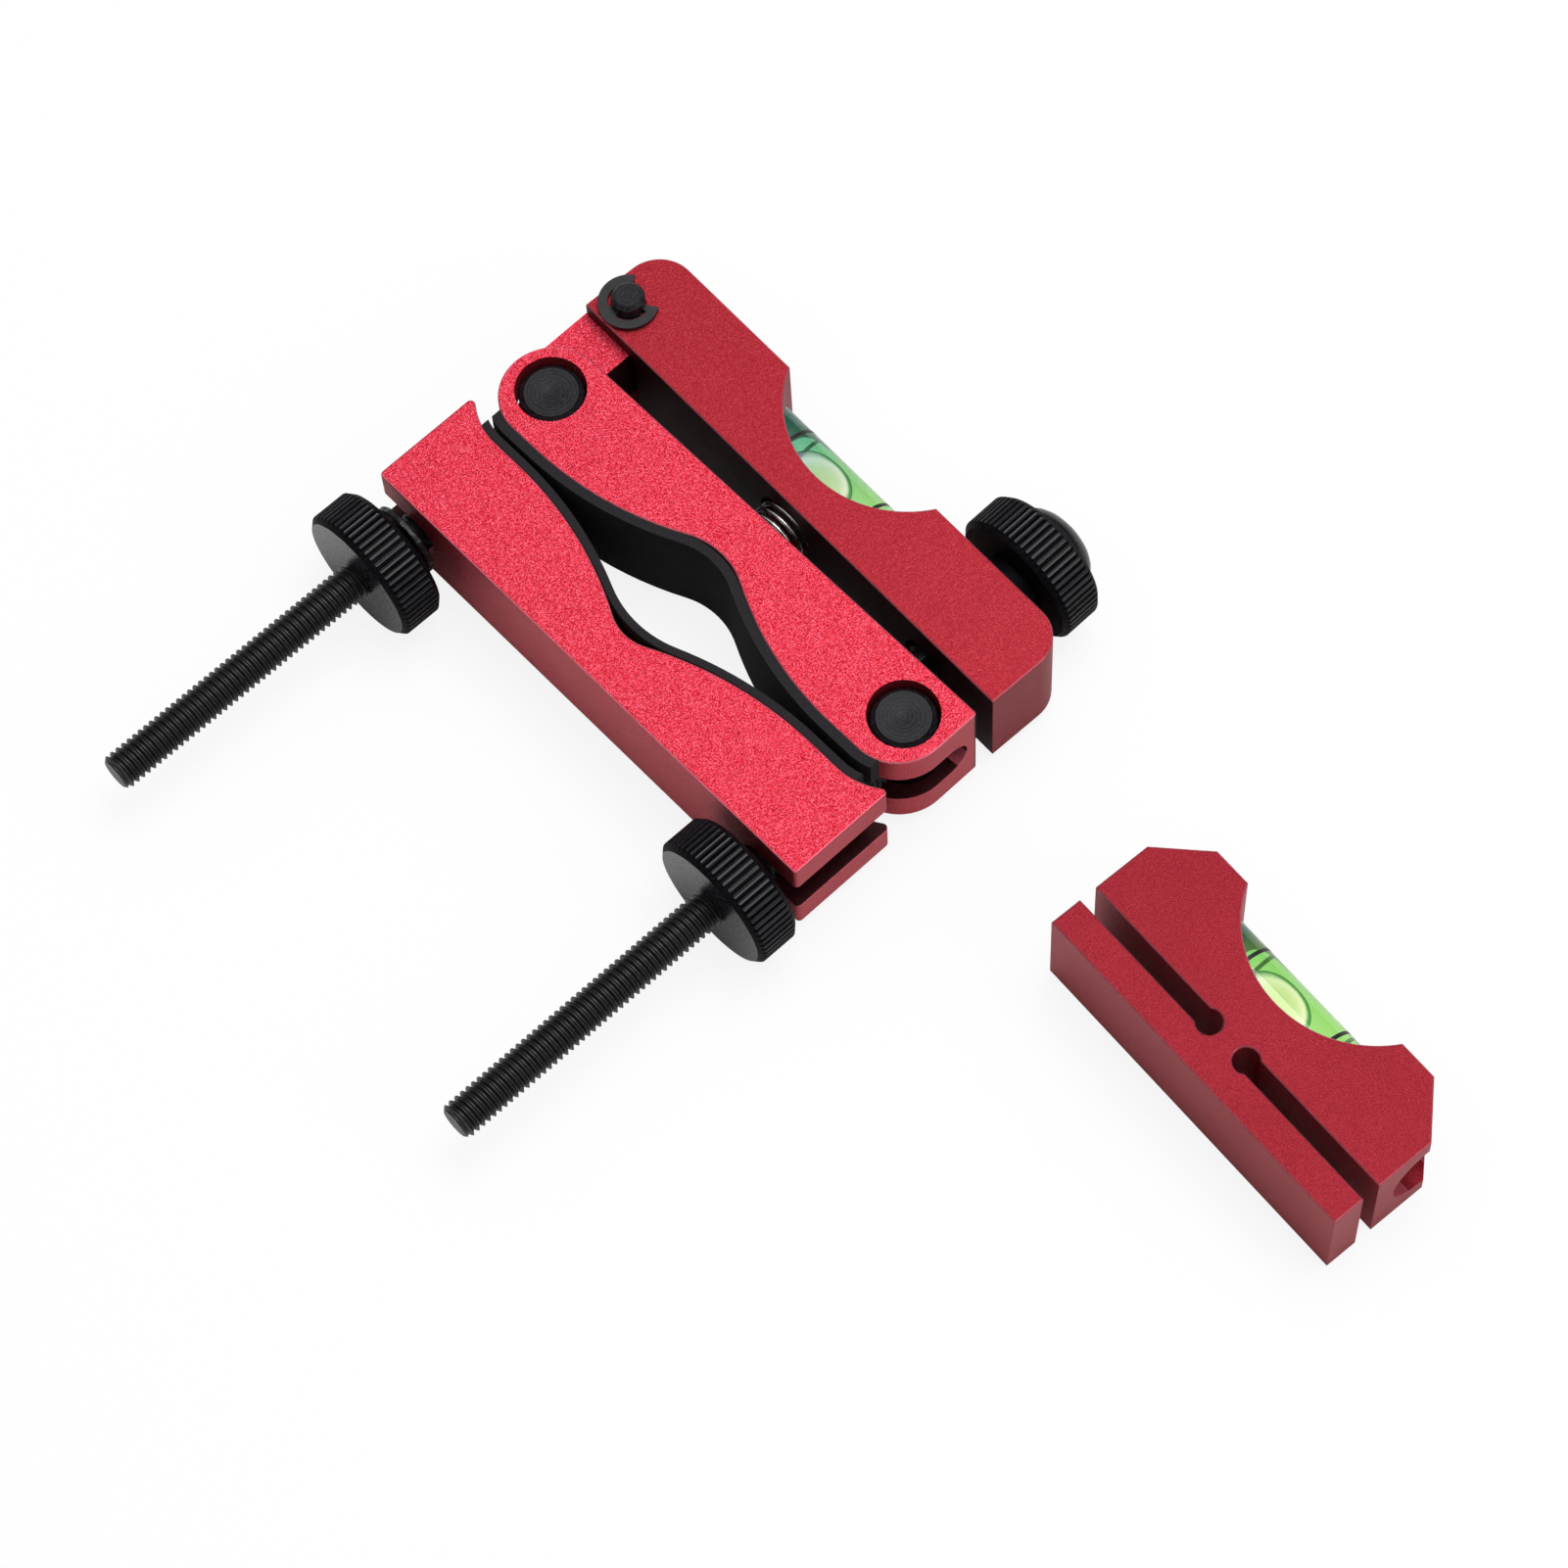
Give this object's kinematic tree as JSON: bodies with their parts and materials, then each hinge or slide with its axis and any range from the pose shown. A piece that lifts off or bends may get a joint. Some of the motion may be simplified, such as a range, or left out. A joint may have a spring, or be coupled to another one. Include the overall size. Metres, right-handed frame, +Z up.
{
  "type": "scope leveling tool",
  "caption": "Barrel clamp with notched padded jaws, swing rods with knurled thumb nuts and a hinged arm with a bubble level, beside a small clip-on bubble level.",
  "frame": {"origin": "centre of the barrel space between the two pads, at half the clamp's thickness", "axes": "+X along the jaws towards the adjuster's end, +Y from the outer jaw to the level arm, +Z up through the clamp's thickness"},
  "size_m": [0.1232, 0.0855, 0.0153],
  "materials": {
    "blasted_red": "red anodised over a coarse bead-blasted surface",
    "matte_red": "matte crimson anodised, fine blasted",
    "pad_rubber": "matte black strip",
    "black_steel": "black oxide, turned",
    "black_knob": "black anodised with a straight knurl",
    "spring_nickel": "bright nickel plated wire",
    "vial_tube": "clear, polished",
    "vial_fluid": "clear green spirit",
    "vial_bubble": "air bubble",
    "ring_black": "printed black line",
    "plug_white": "satin plug"
  },
  "bodies": {
    "clamp_base": {"inner_jaw": "blasted_red", "inner_jaw_pad": "pad_rubber", "arm_pivot_pin": "black_steel", "arm_pivot_clip": "black_steel", "arm_spring": "spring_nickel"},
    "sliding_jaw": {"outer_jaw": "blasted_red", "outer_jaw_pad": "pad_rubber"},
    "left_rod": {"left_cross_dowel": "black_steel", "left_swing_rod": "black_steel"},
    "left_washer": {"left_clamp_washer": "black_steel"},
    "left_knob": {"left_clamp_knob": "black_knob"},
    "right_rod": {"right_cross_dowel": "black_steel", "right_swing_rod": "black_steel"},
    "right_washer": {"right_clamp_washer": "black_steel"},
    "right_knob": {"right_clamp_knob": "black_knob"},
    "arm": {"level_arm": "matte_red", "arm_vial_tube": "vial_tube", "arm_vial_fluid": "vial_fluid", "arm_vial_bubble": "vial_bubble", "arm_vial_rings": "ring_black", "arm_vial_end_plugs": "plug_white"},
    "adjuster_thrust_washer": {"adjuster_washer": "black_steel"},
    "adjuster": {"adjuster_screw": "black_steel", "adjuster_knob": "black_knob", "adjuster_knob_button": "black_steel"},
    "reference_level": {"reference_level_body": "matte_red", "reference_vial_tube": "vial_tube", "reference_vial_fluid": "vial_fluid", "reference_vial_bubble": "vial_bubble", "reference_vial_rings": "ring_black", "reference_vial_end_plugs": "plug_white"}
  },
  "joints": [
    {"name": "left_rod_swing", "type": "hinge", "parent": "clamp_base", "child": "left_rod", "pos_m": [-0.02516, 0.00675, 0], "axis": [0, 0, -1], "range_deg": [0, 97]},
    {"name": "right_rod_swing", "type": "hinge", "parent": "clamp_base", "child": "right_rod", "pos_m": [0.02504, 0.00721, 0], "axis": [0, 0, 1], "range_deg": [0, 59]},
    {"name": "left_washer_slide", "type": "slide", "parent": "left_rod", "child": "left_washer", "axis": [-0.0113, -0.9999, 0], "range_m": [0, 0.028]},
    {"name": "left_knob_spin", "type": "hinge", "parent": "left_washer", "child": "left_knob", "pos_m": [-0.02541, -0.015, 0], "axis": [-0.0113, -0.9999, 0], "range_deg": [0, 14400]},
    {"name": "right_washer_slide", "type": "slide", "parent": "right_rod", "child": "right_washer", "axis": [-0.0113, -0.9999, 0], "range_m": [0, 0.028]},
    {"name": "right_knob_spin", "type": "hinge", "parent": "right_washer", "child": "right_knob", "pos_m": [0.02478, -0.01499, 0], "axis": [-0.0113, -0.9999, 0], "range_deg": [0, 14400]},
    {"name": "outer_jaw_slide", "type": "slide", "parent": "clamp_base", "child": "sliding_jaw", "axis": [-0.0113, -0.9999, 0], "range_m": [0, 0.028]},
    {"name": "adjuster_washer_slide", "type": "slide", "parent": "clamp_base", "child": "adjuster_thrust_washer", "axis": [-0.0093, 1, 0], "range_m": [-0.0014, 0.0025]},
    {"name": "adjuster_spin", "type": "hinge", "parent": "adjuster_thrust_washer", "child": "adjuster", "pos_m": [0.02007, 0.03027, 0], "axis": [-0.0093, 1, 0], "range_deg": [-1008, 1800]},
    {"name": "arm_hinge", "type": "hinge", "parent": "clamp_base", "child": "arm", "pos_m": [-0.02687, 0.01883, 0], "axis": [0, 0, 1], "range_deg": [-1.71, 3.06], "deforming": ["arm_spring"]},
    {"name": "reference_level_lift", "type": "slide", "parent": "clamp_base", "child": "reference_level", "axis": [0, 0, 1], "range_m": [0, 0.05]}
  ],
  "couplings": [
    {"joint": "left_washer_slide", "follows": "outer_jaw_slide", "ratio": 1},
    {"joint": "right_washer_slide", "follows": "outer_jaw_slide", "ratio": 1},
    {"joint": "left_knob_spin", "follows": "outer_jaw_slide", "rad_per_m": 8976},
    {"joint": "right_knob_spin", "follows": "outer_jaw_slide", "rad_per_m": 8976},
    {"joint": "adjuster_spin", "follows": "adjuster_washer_slide", "rad_per_m": 12566},
    {"joint": "arm_hinge", "follows": "adjuster_washer_slide", "rad_per_m": 21.241}
  ]
}
